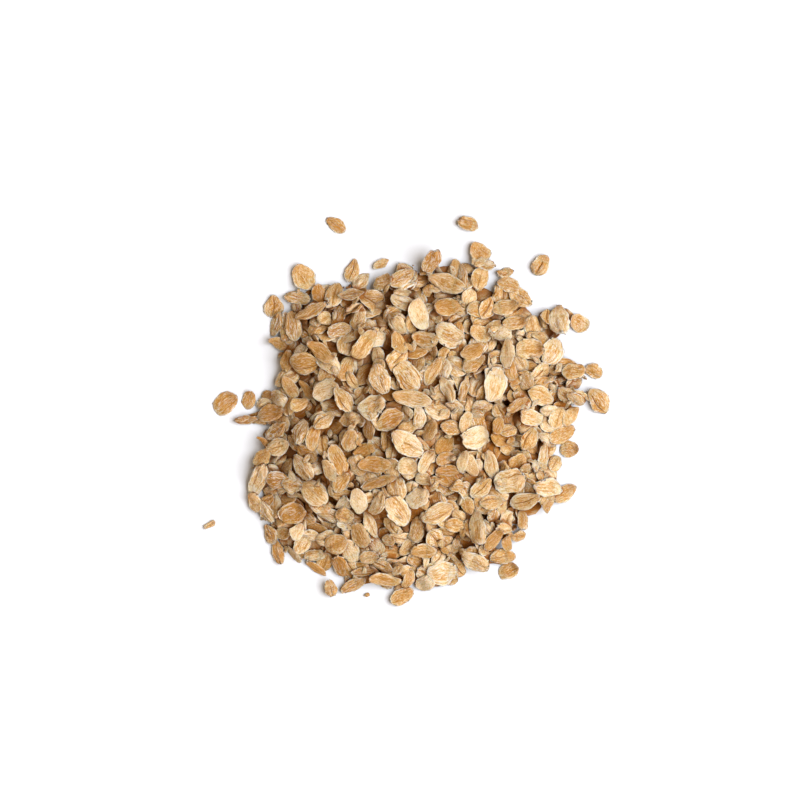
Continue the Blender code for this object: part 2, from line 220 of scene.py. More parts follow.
upperFlakes = [
    ("smooth", 419, 315, 11.2, 7.2, 110, 0.95), ("ridged", 448, 335, 11.2, 8.6, 150, 0.9),
    ("creased", 380, 379, 11.5, 7.9, 110, 0.6), ("ridged", 408, 377, 12.2, 8.6, 125, 0.75),
    ("wide", 373, 407, 10.8, 9.0, 20, 0.85), ("ridged", 389, 419, 11.5, 7.9, 25, 0.4),
    ("ridged", 447, 389, 11.5, 4.7, 115, 0.85), ("smooth", 507, 354, 11.2, 5.4, 85, 0.85),
    ("wide", 474, 438, 10.8, 8.6, 10, 0.95), ("smooth", 490, 464, 12.2, 5.4, 103, 0.85),
    ("wide", 510, 481, 12.2, 9.6, 20, 0.85), ("creased", 481, 488, 10.1, 6.1, 45, 0.8),
    ("smooth", 462, 460, 9.0, 4.3, 75, 0.85), ("ridged", 477, 527, 13.0, 6.1, 100, 0.85),
    ("smooth", 493, 539, 10.1, 4.7, 55, 0.2), ("creased", 438, 513, 12.2, 7.2, 25, 0.75),
    ("wide", 398, 510, 12.2, 8.6, 125, 0.8), ("smooth", 359, 500, 9.7, 6.5, 100, 1.0),
    ("ridged", 370, 524, 10.8, 4.7, 115, 1.0), ("smooth", 375, 464, 11.5, 6.5, 178, 0.3),
    ("ridged", 380, 481, 13.0, 4.0, 20, 0.5), ("smooth", 425, 461, 9.0, 4.3, 65, 0.8),
    ("wide", 418, 497, 9.4, 7.2, 40, 0.95), ("creased", 338, 458, 11.5, 6.5, 115, 0.45),
    ("smooth", 330, 470, 9.0, 4.7, 110, 0.7), ("creased", 314, 492, 11.5, 8.6, 145, 0.75),
    ("ridged", 292, 485, 8.3, 7.2, 170, 0.85), ("smooth", 293, 513, 10.1, 8.6, 20, 0.15),
    ("smooth", 296, 532, 6.1, 5.4, 60, 0.95), ("smooth", 321, 352, 10.8, 5.8, 140, 0.3),
    ("creased", 407, 443, 13.0, 8.6, 145, 0.85), ("wide", 495, 385, 13.0, 8.6, 75, 1.0),
]

# single flakes that lie apart: kind, length and width in mm, turn in degrees, tone
strayFlakes = {
    "stray_top_left": ("creased", 8.6, 5.2, 145, 0.35),
    "stray_top_middle": ("wide", 8.4, 5.4, 162, 0.45),
    "stray_top_right": ("creased", 8.4, 6.4, 59, 0.55),
    "stray_top_chip": ("chip", 6.6, 3.4, 21, 0.6),
    "stray_left": ("smooth", 10.0, 7.6, 39, 0.2),
    "stray_left_chip": ("chip", 4.8, 2.6, 38, 0.7),
    "stray_right": ("creased", 6.8, 5.6, 150, 0.5),
    "stray_bottom": ("creased", 6.6, 4.8, 100, 0.5),
}

finish = {
    "golden": (190, 134, 62),        # colours as they show on a screen, 0 to 255
    "tan": (214, 165, 96),
    "cream": (235, 200, 146),
    "pale": (249, 228, 192),
    "germ": (200, 138, 56),
    "creaseBrown": (150, 88, 32),
    "flourWhite": (255, 250, 240),
    # painted shade: the warm brown given to points deep in the pile's hollows and to the core's middle
    "paintedShadeBrown": (166, 96, 22),
    "shade": 0.62,                   # the light is so strong that the table burns out to white
    "roughness": 0.82,
    "specular": 0.02,
    "glow": 0.26,                    # share of the light that passes into the oats
}

lights = {
    "key": {"place": (1.35, -0.1, 2.0), "size": 2.2, "watts": 138.0, "colour": (0.965, 0.975, 1.0)},
    "fill": {"place": (-0.6, -0.3, 1.1), "size": 0.9, "watts": 2.4, "colour": (1.0, 0.86, 0.68)},
    "world": 0.36,
    "table": (0.58, 0.61, 0.66),   # just pale enough to be white in this light
    "worldColour": (1.0, 0.67, 0.36, 1.0),
}


def between(span, share=None):
    share = dice.random() if share is None else share
    return span[0] + (span[1] - span[0]) * share


def screenColour(colour):
    # a screen colour from 0 to 255 turned into the light that it stands for
    parts = [c / 255 for c in colour]
    linear = [c / 12.92 if c <= 0.04045 else ((c + 0.055) / 1.055) ** 2.4 for c in parts]
    return (*(c * finish["shade"] for c in linear), 1.0)


def selectNothing():
    # operators act on whatever is selected, so each piece starts with nothing selected
    if bpy.context.mode != "OBJECT":
        bpy.ops.object.mode_set(mode="OBJECT")
    bpy.ops.object.select_all(action="DESELECT")


# flakes are modelled at a thousand times their size, one unit for a millimetre

def bendGuides():
    # empties that turn the bend modifier's own axes on to the flake's length and width
    guides = {}
    for name, turn in (("lengthways", (90, 0, 0)), ("across", (0, 90, 90))):
        bpy.ops.object.empty_add(rotation=[math.radians(t) for t in turn])
        guides[name] = bpy.context.active_object
    return guides


def bendFlake(flake, guide, degrees):
    bend = flake.modifiers.new("bend", "SIMPLE_DEFORM")
    bend.deform_method = "BEND"
    bend.deform_axis = "Z"
    bend.origin = guide
    bend.angle = math.radians(degrees)
    bpy.ops.object.modifier_apply(modifier=bend.name)


def waveFlake(flake, strength):
    clouds = bpy.data.textures.new("flake waves", "CLOUDS")
    clouds.noise_scale = dice.uniform(1.6, 3.4)
    clouds.noise_depth = 1
    wave = flake.modifiers.new("wave", "DISPLACE")
    wave.texture = clouds
    wave.texture_coords = "LOCAL"
    wave.direction = "Z"
    wave.strength = strength * dice.uniform(0.6, 1.3)
    bpy.ops.object.modifier_apply(modifier=wave.name)
    bpy.data.textures.remove(clouds)


def twistFlake(flake, degrees):
    twist = flake.modifiers.new("twist", "SIMPLE_DEFORM")
    twist.deform_method = "TWIST"
    twist.deform_axis = "X"
    twist.angle = math.radians(degrees)
    bpy.ops.object.modifier_apply(modifier=twist.name)


def startFlake(name, mesh):
    # a ball with its poles at the flake's two tips, so its meridians run along the grain
    selectNothing()
    bpy.ops.mesh.primitive_uv_sphere_add(segments=mesh["sides"], ring_count=mesh["rings"], radius=0.5,
                                         calc_uvs=False, rotation=(0, math.radians(90), 0))
    bpy.ops.object.transform_apply(location=False, rotation=True, scale=False)
    flake = bpy.context.active_object
    flake.name = name
    points = np.array([v.co for v in flake.data.vertices]) * 2
    around = np.hypot(points[:, 1], points[:, 2])
    onAxis = around < 1e-4
    around[onAxis] = 1
    grain = np.stack([points[:, 0], points[:, 1] / around, points[:, 2] / around], 1)
    grain[onAxis, 1:] = 0
    flake.data.attributes.new("grain", "FLOAT_VECTOR", "POINT").data.foreach_set("vector", grain.ravel())
    meridian = np.round(np.degrees(np.arctan2(points[:, 2], points[:, 1])) / (360 / mesh["sides"])).astype(int)
    ring = np.round(np.degrees(np.arccos(np.clip(points[:, 0], -1, 1))) / (180 / mesh["rings"])).astype(int)
    return flake, np.where(onAxis, -999, meridian), ring


def pickPoints(flake, chosen):
    edit = bmesh.from_edit_mesh(flake.data)
    for point, wanted in zip(edit.verts, chosen):
        point.select = bool(wanted)
    edit.select_flush_mode()


def modelFlake(kind, number, mesh):
    look = flakeKinds[kind]
    flake, meridian, ring = startFlake(f"{kind}_model_{number}", mesh)
    sides, rings = mesh["sides"], mesh["rings"]
    middle = (0, 0, 0)

    # the crease and the ridges: meridians of the upper side pressed in or raised
    top = sides // 4
    fine = sides > plainMesh["sides"]
    creaseLine = top + (dice.choice((-2, -1, 0, 0, 1, 2)) if fine else 0)
    rises = {}
    for line in range(1, sides // 2):
        rises[line] = 1 + dice.uniform(-1, 1) * look["ridge"]
        if fine and line % 2:
            rises[line] -= look["ridge"] * 0.6
        if line == creaseLine:
            rises[line] = min(look["crease"] * dice.uniform(0.6, 1.8), 1)
        elif fine and abs(line - creaseLine) == 1:
            rises[line] *= 0.55 + 0.45 * max(look["crease"], 0.75)
    relief = np.array([rises.get(line, 1.0) - 1 for line in meridian])
    flake.data.attributes.new("relief", "FLOAT", "POINT").data.foreach_set("value", relief)
    bpy.ops.object.mode_set(mode="EDIT")
    bpy.ops.mesh.select_mode(type="VERT")
    for line in range(1, sides // 2):
        # a ball's side is round and a flake's is thin, so lines near the rim are pressed flat
        thin = math.sin(math.tau * line / sides) ** look["thinRim"]
        pickPoints(flake, meridian == line)
        bpy.ops.transform.resize(value=(1, 1, rises[line] * thin), center_override=middle)
        pickPoints(flake, meridian == -line)
        bpy.ops.transform.resize(value=(1, 1, thin), center_override=middle)

    # the two flanks of the crease are drawn together, so that it shows as a thin line
    for point, at, around in zip(bmesh.from_edit_mesh(flake.data).verts, meridian, ring):
        if abs(at - creaseLine) == 1:
            apart = math.cos(math.tau * creaseLine / sides) - math.cos(math.tau * at / sides)
            point.co.y += 0.5 * math.sin(math.pi * around / rings) * apart * look["tight"]

    # the outline: slow swells and sways along the flake, a bow, and one tip more pointed
    point = look["point"] * dice.uniform(0.2, 1.4)
    bow = dice.uniform(-1, 1) * look["bow"]
    swell = [(dice.uniform(1.5, 6), dice.uniform(0, math.tau)) for _ in range(2)]
    sway = [(dice.uniform(2, 7), dice.uniform(0, math.tau)) for _ in range(2)]
    for line in range(1, rings):
        along = math.cos(math.pi * line / rings)
        width = 1 + look["lump"] * sum(math.sin(speed * along + start) for speed, start in swell)
        width *= (1 - point * max(along, 0) ** 1.5) * (1 - look["tip"] * abs(along) ** 3)
        aside = look["lump"] * 0.35 * sum(math.sin(speed * along + start) for speed, start in sway)
        pickPoints(flake, ring == line)
        bpy.ops.transform.resize(value=(1, width, 1), center_override=middle)
        bpy.ops.transform.translate(value=(0, aside + bow * (0.5 - along * along), 0))

    # nicks in the rim
    rims = np.flatnonzero(((meridian == 0) | (abs(meridian) == sides // 2)) & (ring > 1) & (ring < rings - 1))
    for nick in range(dice.choice(look["nicks"])):
        pickPoints(flake, np.arange(len(ring)) == dice.choice(rims.tolist()))
        bpy.ops.transform.resize(value=(0.97, dice.uniform(0.7, 0.9), 1), center_override=middle)

    # a flatter underside, then the flake's true size and a torn rim
    pickPoints(flake, meridian < 0)
    bpy.ops.transform.resize(value=(1, 1, look["under"]), center_override=middle)
    bpy.ops.mesh.select_all(action="SELECT")
    bpy.ops.transform.resize(value=(look["length"], look["width"], look["thick"]), center_override=middle)
    bpy.ops.transform.vertex_random(offset=0.06, seed=dice.randrange(9999), wait_for_input=False)
    pickPoints(flake, (meridian == 0) | (abs(meridian) == sides // 2) | (ring == 0) | (ring == rings))
    bpy.ops.transform.vertex_random(offset=look["fray"], seed=dice.randrange(9999), wait_for_input=False)
    for cut in range(dice.choice(look["tears"])):
        # a torn side: what lies past a slanting plane is pressed back on to it
        side = math.radians(dice.uniform(0, 360))
        away = Vector((math.cos(side), math.sin(side), 0.25))
        near = Vector((away.x * look["length"] * look["tearAt"], away.y * look["width"] * look["tearAt"], 0))
        away.normalize()
        for torn in bmesh.from_edit_mesh(flake.data).verts:
            torn.co -= away * max((torn.co - near).dot(away), 0)
    bpy.ops.object.mode_set(mode="OBJECT")
    waveFlake(flake, look["wave"])
    bendFlake(flake, guides["lengthways"], between(look["curl"]))
    bendFlake(flake, guides["across"], between(look["cup"]))
    twistFlake(flake, dice.uniform(-1, 1) * look["twist"])
    return flake


def modelCrumb(number):
    selectNothing()
    bpy.ops.mesh.primitive_ico_sphere_add(subdivisions=1, radius=0.5, calc_uvs=False)
    crumb = bpy.context.active_object
    crumb.name = f"crumb_model_{number}"
    points = np.array([v.co for v in crumb.data.vertices]) * 2
    crumb.data.attributes.new("grain", "FLOAT_VECTOR", "POINT").data.foreach_set("vector", points.ravel())
    bpy.ops.object.mode_set(mode="EDIT")
    bpy.ops.mesh.select_all(action="SELECT")
    bpy.ops.transform.resize(value=(1.0, dice.uniform(0.5, 0.9), dice.uniform(0.3, 0.6)),
                             center_override=(0, 0, 0))
    bpy.ops.transform.vertex_random(offset=0.16, seed=dice.randrange(9999), wait_for_input=False)
    bpy.ops.object.mode_set(mode="OBJECT")
    return crumb


class Form:
    # a finished model read into arrays, with maps of its underside and upper side

    def __init__(self, piece):
        mesh = piece.data
        count = len(mesh.vertices)
        self.points = np.empty(count * 3)
        mesh.vertices.foreach_get("co", self.points)
        self.points = self.points.reshape(-1, 3)
        middle = (self.points.max(0) + self.points.min(0)) / 2
        middle[2] = 0
        self.points -= middle
        self.grain = np.empty(count * 3)
        mesh.attributes["grain"].data.foreach_get("vector", self.grain)
        self.grain = self.grain.reshape(-1, 3)
        self.relief = np.zeros(count)
        if "relief" in mesh.attributes:
            mesh.attributes["relief"].data.foreach_get("value", self.relief)
        self.corners = np.empty(len(mesh.loops), int)
        mesh.loops.foreach_get("vertex_index", self.corners)
        self.faceSizes = np.empty(len(mesh.polygons), int)
        mesh.polygons.foreach_get("loop_total", self.faceSizes)
        self.length, self.width = self.points.max(0)[:2] - self.points.min(0)[:2]
        self.mapSides()
        bpy.data.objects.remove(piece)

    def mapSides(self):
        self.step = 0.35
        starts = np.concatenate([[0], np.cumsum(self.faceSizes)[:-1]])
        faces = [self.corners[a:a + n].tolist() for a, n in zip(starts, self.faceSizes)]
        tree = BVHTree.FromPolygons([Vector(p) for p in self.points], faces)
        self.halfColumns = int(self.length / 2 / self.step) + 2
        self.halfRows = int(self.width / 2 / self.step) + 2
        shape = (2 * self.halfRows + 1, 2 * self.halfColumns + 1)
        self.low, self.high = np.full(shape, np.nan), np.full(shape, np.nan)
        for i in range(shape[0]):
            for j in range(shape[1]):
                x, y = (j - self.halfColumns) * self.step, (i - self.halfRows) * self.step
                above = tree.ray_cast(Vector((x, y, 20)), Vector((0, 0, -1)))[0]
                if above is None:
                    continue
                self.high[i, j] = above.z
                self.low[i, j] = tree.ray_cast(Vector((x, y, -20)), Vector((0, 0, 1)))[0].z

    def sides(self, u, v):
        # underside and upper side over points given along the length and across
        j = np.clip(np.rint(u / self.step).astype(int) + self.halfColumns, 0, self.low.shape[1] - 1)
        i = np.clip(np.rint(v / self.step).astype(int) + self.halfRows, 0, self.low.shape[0] - 1)
        return self.low[i, j], self.high[i, j]


def restingPlane(x, y, need):
    # the lowest plane that clears every height in need: it lies on three of them round the middle
    far = 500.0
    turns = (0.3, 0.3 + math.tau / 3, 0.3 + 2 * math.tau / 3)
    corners = [(far * math.cos(a), far * math.sin(a)) for a in turns]
    held = np.array([[1.0, 1.0, 1.0], [c[0] for c in corners], [c[1] for c in corners]])
    heights = np.full(3, -far)
    for step in range(40):
        inverse = np.linalg.inv(held)
        plane = heights @ inverse
        above = need - (plane[0] + plane[1] * x + plane[2] * y)
        worst = int(above.argmax())
        if above[worst] < 0.01:
            break
        new = np.array([1.0, x[worst], y[worst]])
        balance, change = inverse[:, 0], inverse @ new
        ratio = np.where(change > 1e-9, balance / np.maximum(change, 1e-9), np.inf)
        leaving = int(ratio.argmin())
        held[:, leaving], heights[leaving] = new, need[worst]
    return plane


class Ground:
    # a map of how high the pile has grown, in millimetres

    def __init__(self, low, high, step):
        self.step = step
        self.left, self.front = low
        self.columns = int((high[0] - low[0]) / step) + 1
        self.rows = int((high[1] - low[1]) / step) + 1
        self.height = np.zeros((self.rows, self.columns))
        self.smooth = self.height

    def cell(self, x, y):
        row = min(max(round((y - self.front) / self.step), 0), self.rows - 1)
        column = min(max(round((x - self.left) / self.step), 0), self.columns - 1)
        return row, column

    def place(self, row, column):
        return self.left + column * self.step, self.front + row * self.step

    def castFrom(self, tree, top):
        heights = np.zeros_like(self.height)
        for row in range(self.rows):
            for column in range(self.columns):
                x, y = self.place(row, column)
                hit = tree.ray_cast(Vector((x * mm, y * mm, top * mm)), Vector((0, 0, -1)))[0]
                if hit is not None:
                    heights[row, column] = hit.z / mm
        return heights

    def depth(self, points):
        # how far points lie under the top of the pile; the deeper they lie, the more painted shade their colour gets
        column = np.clip(np.rint((points[:, 0] - self.left) / self.step).astype(int), 0, self.columns - 1)
        row = np.clip(np.rint((points[:, 1] - self.front) / self.step).astype(int), 0, self.rows - 1)
        below = np.maximum(self.height[row, column], self.smooth[row, column] - pile["topSlack"]) - points[:, 2]
        return np.maximum(below, 0)

    def lay(self, form, x, y, length, width, turn, slope=None, clear=None, thicker=1.0, seen=None):
        # drops one flake on the pile and gives back where it comes to rest
        stretch = np.array([length / form.length, width / form.width, thicker])
        reach = 0.5 * math.hypot(length, width) + 1.0
        row0, column0 = self.cell(x - reach, y - reach)
        row1, column1 = self.cell(x + reach, y + reach)
        window = (slice(row0, row1 + 1), slice(column0, column1 + 1))
        dx = (self.left + np.arange(column0, column1 + 1) * self.step - x)[None, :]
        dy = (self.front + np.arange(row0, row1 + 1) * self.step - y)[:, None]
        dx, dy = np.broadcast_arrays(dx, dy)
        c, s = math.cos(turn), math.sin(turn)
        under = self.height[window]
        if slope is None:
            low = form.sides((c * dx + s * dy) / stretch[0], (c * dy - s * dx) / stretch[1])[0]
            inside = ~np.isnan(low)
            plane = restingPlane(dx[inside], dy[inside], (under - low)[inside])
            slope = np.array(plane[1:])
            steep = np.hypot(*slope)
            slope *= min(1.0, (seen or pile["steepest"]) / max(steep, 1e-6))
        a, b = slope
        normal = np.array([-a, -b, 1.0])
        normal /= np.linalg.norm(normal)
        along = np.array([c, s, a * c + b * s])
        along /= np.linalg.norm(along)
        across = np.cross(normal, along)
        if seen:
            # its length and width were read from above, so a tilted flake is longer than it looks
            stretch[:2] /= np.hypot(*along[:2]), np.hypot(*across[:2])
        rise = a * dx + b * dy
        u = (along[0] * dx + along[1] * dy + along[2] * rise) / stretch[0]
        v = (across[0] * dx + across[1] * dy + across[2] * rise) / stretch[1]
        low, high = form.sides(u, v)
        inside = ~np.isnan(low)
        need = (under - rise - low / normal[2])[inside]
        level = np.quantile(need, pile["touching"] if clear is None else clear)
        turned = np.stack([along, across, normal], 1) * stretch
        heights = form.points @ turned[2]
        level = max(level, 0.03 - heights.min())
        level = min(level, pile["highest"] - heights.max())
        top = level + rise + high / normal[2]
        self.height[window] = np.where(inside, np.maximum(under, np.where(inside, top, 0)), under)
        return turned, np.array([x, y, level])


def blurred(heights, reach, times=2):
    # a box blur, done along rows and then along columns
    for turn in range(times):
        for axis in (0, 1):
            padded = np.pad(heights, [(reach + 1, reach) if a == axis else (0, 0) for a in (0, 1)], mode="edge")
            total = np.cumsum(padded, axis=axis)
            size = 2 * reach + 1
            heights = (np.take(total, range(size, total.shape[axis]), axis=axis)
                       - np.take(total, range(0, total.shape[axis] - size), axis=axis)) / size
    return heights


def onFloor(column, row):
    # a place in the picture turned into millimetres on the floor
    return ((column - picture["middleColumn"]) * picture["pixel"],
            (picture["middleRow"] - row) * picture["pixel"])


# materials

def oatMaterial(name, look):
    material = bpy.data.materials.new(name)
    material.use_nodes = True
    nodes, links = material.node_tree.nodes, material.node_tree.links
    shader = nodes["Principled BSDF"]
    shader.inputs["Specular IOR Level"].default_value = finish["specular"]
    shader.inputs["Subsurface Weight"].default_value = finish["glow"]
    shader.inputs["Subsurface Radius"].default_value = (1.0, 0.45, 0.2)
    shader.inputs["Subsurface Scale"].default_value = 0.0012

    def node(kind, **settings):
        made = nodes.new(kind)
        for key, value in settings.items():
            setattr(made, key, value)
        return made

    def plug(value, socket):
        if isinstance(value, bpy.types.NodeSocket):
            links.new(value, socket)
        else:
            socket.default_value = value

    def maths(operation, a, b=0.0, clamp=False):
        made = node("ShaderNodeMath", operation=operation, use_clamp=clamp)
        plug(a, made.inputs[0])
        plug(b, made.inputs[1])
        return made.outputs[0]

    def ramp(value, low, high, fromValue=0.0, toValue=1.0):
        made = node("ShaderNodeMapRange", interpolation_type="SMOOTHSTEP")
        for socket, number in zip(made.inputs, (value, low, high, fromValue, toValue)):
            plug(number, socket)
        return made.outputs[0]

    def noise(vector, scale, detail=2.0, rough=0.5):
        made = node("ShaderNodeTexNoise")
        plug(vector, made.inputs["Vector"])
        made.inputs["Scale"].default_value = scale
        made.inputs["Detail"].default_value = detail
        made.inputs["Roughness"].default_value = rough
        return made.outputs["Fac"]

    def blend(share, first, second):
        made = node("ShaderNodeMix", data_type="RGBA")
        plug(share, made.inputs[0])
        plug(first, made.inputs[6])
        plug(second, made.inputs[7])
        return made.outputs[2]

    grain = node("ShaderNodeAttribute", attribute_name="grain")
    mark = node("ShaderNodeAttribute", attribute_name="mark")
    grainParts = node("ShaderNodeSeparateXYZ")
    links.new(grain.outputs["Vector"], grainParts.inputs[0])
    u, v, side = grainParts.outputs
    marks = node("ShaderNodeSeparateXYZ")
    links.new(mark.outputs["Vector"], marks.inputs[0])
    tone, seed, flour = marks.outputs
    folds = node("ShaderNodeSeparateXYZ")
    links.new(node("ShaderNodeAttribute", attribute_name="folds").outputs["Vector"], folds.inputs[0])
    relief, shadeDepth = folds.outputs[0], folds.outputs[1]

    # the grain's own coordinates: long streaks that run to both tips, other ones on each flake
    streakPlace = node("ShaderNodeCombineXYZ")
    plug(maths("ADD", maths("MULTIPLY", u, 1.3), seed), streakPlace.inputs[0])
    plug(maths("MULTIPLY", v, 4.6), streakPlace.inputs[1])
    plug(maths("MULTIPLY", seed, 3.7), streakPlace.inputs[2])
    streaks = noise(streakPlace.outputs[0], 1.5, 3.0, 0.6)
    fibrePlace = node("ShaderNodeCombineXYZ")
    plug(maths("ADD", maths("MULTIPLY", u, 3.2), seed), fibrePlace.inputs[0])
    plug(maths("MULTIPLY", v, 9.0), fibrePlace.inputs[1])
    plug(maths("MULTIPLY", seed, 1.9), fibrePlace.inputs[2])
    fibres = noise(fibrePlace.outputs[0], 1.6, 2.0, 0.7)
    patchPlace = node("ShaderNodeCombineXYZ")
    plug(maths("ADD", u, maths("MULTIPLY", seed, 5.1)), patchPlace.inputs[0])
    plug(v, patchPlace.inputs[1])
    plug(side, patchPlace.inputs[2])
    patches = noise(patchPlace.outputs[0], 1.7, 2.0, 0.55)
    place = node("ShaderNodeTexCoord").outputs["Object"]
    speckle = noise(place, 2600, 2.0, 0.6)
    fineGrain = noise(place, 900, 3.0, 0.65)

    # bare bran from golden to cream, with painted shade in the valleys and painted highlight on the ridges, then
    # flour on the streaks, the rim and in patches
    edge = maths("MAXIMUM", maths("ABSOLUTE", v), maths("ABSOLUTE", u))
    middleGold = maths("MULTIPLY", maths("SUBTRACT", maths("MULTIPLY", edge, edge), 0.55), 0.30)
    depth = maths("ADD", tone, maths("MULTIPLY", maths("SUBTRACT", patches, 0.5), 1.0))
    # painted shade and highlight: the pressed-in valleys are painted more golden and the raised ridges paler
    depth = maths("ADD", depth, maths("MULTIPLY", relief, look["valley"]))
    depth = maths("ADD", maths("ADD", depth, middleGold),
                  maths("MULTIPLY", maths("SUBTRACT", fibres, 0.5), 1.8), clamp=True)
    depth = maths("ADD", depth, maths("MULTIPLY", maths("SUBTRACT", speckle, 0.5), 1.1), clamp=True)
    body = node("ShaderNodeValToRGB")
    steps = body.color_ramp.elements
    steps[0].position, steps[0].color = 0.0, screenColour(finish["golden"])
    steps[1].position, steps[1].color = 1.0, screenColour(finish["pale"])
    for where, colour in ((0.35, "tan"), (0.68, "cream")):
        step = steps.new(where)
        step.color = screenColour(finish[colour])
    links.new(depth, body.inputs[0])
    threads = maths("ADD", maths("MULTIPLY", streaks, 0.55), maths("MULTIPLY", fibres, 0.45))
    floury = maths("MULTIPLY", ramp(threads, 0.49, 0.59), maths("MULTIPLY", flour, look["streak"]))
    surface = blend(floury, body.outputs[0], screenColour(finish["flourWhite"]))
    darkStreak = maths("MULTIPLY", ramp(threads, 0.47, 0.37), look["darkStreak"])
    surface = blend(darkStreak, surface, screenColour(finish["golden"]))
    germ = ramp(maths("ADD", u, maths("MULTIPLY", maths("SUBTRACT", patches, 0.5), 1.6)), 0.35, 1.0)
    surface = blend(maths("MULTIPLY", germ, 0.5), surface, screenColour(finish["germ"]))
    ragged = maths("MULTIPLY", maths("SUBTRACT", fineGrain, 0.5), 0.5)
    rim = maths("MULTIPLY", ramp(maths("ADD", edge, ragged), 0.8, 1.0), look["rim"])
    rim = maths("MULTIPLY", rim, ramp(streaks, 0.38, 0.58))
    surface = blend(rim, surface, screenColour(finish["flourWhite"]))

    # the crease, brown where the bran is folded in
    crease = maths("MULTIPLY", ramp(relief, -0.30, -0.60), ramp(side, 0.2, 0.7))
    crease = maths("MULTIPLY", crease, ramp(maths("ABSOLUTE", u), 0.95, 0.55))
    crease = maths("MULTIPLY", crease, ramp(patches, 0.25, 0.55, look["crease"] * 0.35, look["crease"]))
    surface = blend(crease, surface, screenColour(finish["creaseBrown"]))
    fleck = maths("MULTIPLY", ramp(speckle, 0.62, 0.75), 0.25)
    surface = blend(fleck, surface, screenColour(finish["tan"]))
    # painted shade: points deep under the pile's top are tinted towards a warm brown, standing in for the shade in
    # the hollows
    shadeShare = ramp(shadeDepth, 0.0, 2.0, 0.0, 0.85)
    surface = blend(shadeShare, surface, screenColour(finish["paintedShadeBrown"]))
    links.new(surface, shader.inputs["Base Color"])

    roughness = ramp(streaks, 0.3, 0.7, finish["roughness"] - 0.1, finish["roughness"] + 0.1)
    links.new(roughness, shader.inputs["Roughness"])
    height = maths("ADD", maths("MULTIPLY", threads, look["streakBump"]), maths("MULTIPLY", fineGrain, 0.7))
    height = maths("SUBTRACT", height, maths("MULTIPLY", crease, 0.8))
    bump = node("ShaderNodeBump")
    bump.inputs["Strength"].default_value = 0.9
    bump.inputs["Distance"].default_value = 0.00055
    links.new(height, bump.inputs["Height"])
    links.new(bump.outputs["Normal"], shader.inputs["Normal"])
    return material


# the relief number of each kind sets how strongly the valleys are painted darker and the ridges paler, as painted
# shade and highlight
oatFinishes = {
    "creased": {
        "streak": 0.65, "darkStreak": 0.45, "rim": 0.75, "crease": 0.8, "streakBump": 1.2, "valley": 0.9,
    },
    "ridged": {
        "streak": 0.85, "darkStreak": 0.6, "rim": 0.75, "crease": 0.4, "streakBump": 1.7, "valley": 1.1,
    },
    "smooth": {
        "streak": 0.45, "darkStreak": 0.4, "rim": 0.55, "crease": 0.0, "streakBump": 1.0, "valley": 0.8,
    },
    "wide": {
        "streak": 0.65, "darkStreak": 0.35, "rim": 0.8, "crease": 0.3, "streakBump": 1.3, "valley": 0.9,
    },
    "chip": {
        "streak": 0.6, "darkStreak": 0.45, "rim": 0.6, "crease": 0.3, "streakBump": 1.2, "valley": 0.8,
    },
    "crumb": {
        "streak": 0.3, "darkStreak": 0.3, "rim": 0.0, "crease": 0.0, "streakBump": 0.8, "valley": 0.0,
    },
}


def coreMaterial():
    material = bpy.data.materials.new("shaded oat middle")
    material.use_nodes = True
    nodes, links = material.node_tree.nodes, material.node_tree.links
    shader = nodes["Principled BSDF"]
    shader.inputs["Roughness"].default_value = 0.9
    shader.inputs["Specular IOR Level"].default_value = 0.1
    place = nodes.new("ShaderNodeTexCoord")
    lumps = nodes.new("ShaderNodeTexNoise")
    lumps.inputs["Scale"].default_value = 260
    lumps.inputs["Detail"].default_value = 4
    # painted shade: the middle only shows down in the gaps, so its colours run from the painted shade brown to
    # golden
    shades = nodes.new("ShaderNodeValToRGB")
    shades.color_ramp.elements[0].position = 0.35
    shades.color_ramp.elements[0].color = screenColour(finish["paintedShadeBrown"])
    shades.color_ramp.elements[1].position = 0.65
    shades.color_ramp.elements[1].color = screenColour(finish["golden"])
    bump = nodes.new("ShaderNodeBump")
    bump.inputs["Distance"].default_value = 0.001
    links.new(place.outputs["Object"], lumps.inputs["Vector"])
    links.new(lumps.outputs["Fac"], shades.inputs[0])
    links.new(lumps.outputs["Fac"], bump.inputs["Height"])
    links.new(shades.outputs[0], shader.inputs["Base Color"])
    links.new(bump.outputs["Normal"], shader.inputs["Normal"])
    return material


# pieces

def joinCopies(name, copies, material):
    # one mesh from many placed copies: (form, turn and stretch, place, tone, seed, flour)
    points, grains, marks, folds, corners, sizes, start = [], [], [], [], [], [], 0
    for form, turned, place, tone, seed, flour in copies:
        points.append((form.points @ turned.T + place) * mm)
        grains.append(form.grain)
        marks.append(np.tile([tone, seed, flour], (len(form.points), 1)))
        folds.append(form.relief)
        corners.append(form.corners + start)
        sizes.append(form.faceSizes)
        start += len(form.points)
    points, grains, marks = np.concatenate(points), np.concatenate(grains), np.concatenate(marks)
    # the relief of each flake's grain, and how deep each point lies under the pile's top for the painted shade
    folds = np.stack([np.concatenate(folds), ground.depth(points / mm)], 1)
    corners, sizes = np.concatenate(corners), np.concatenate(sizes)
    mesh = bpy.data.meshes.new(name)
    mesh.vertices.add(len(points))
    mesh.vertices.foreach_set("co", points.ravel())
    mesh.loops.add(len(corners))
    mesh.loops.foreach_set("vertex_index", corners)
    mesh.polygons.add(len(sizes))
    mesh.polygons.foreach_set("loop_start", np.concatenate([[0], np.cumsum(sizes)[:-1]]))
    mesh.polygons.foreach_set("loop_total", sizes)
    mesh.update(calc_edges=True)
    mesh.attributes.new("grain", "FLOAT_VECTOR", "POINT").data.foreach_set("vector", grains.ravel())
    mesh.attributes.new("mark", "FLOAT_VECTOR", "POINT").data.foreach_set("vector", marks.ravel())
    mesh.attributes.new("folds", "FLOAT2", "POINT").data.foreach_set("vector", folds.ravel())
    mesh.shade_smooth()
    mesh.materials.append(material)
    piece = bpy.data.objects.new(name, mesh)
    bpy.context.scene.collection.objects.link(piece)
    return piece


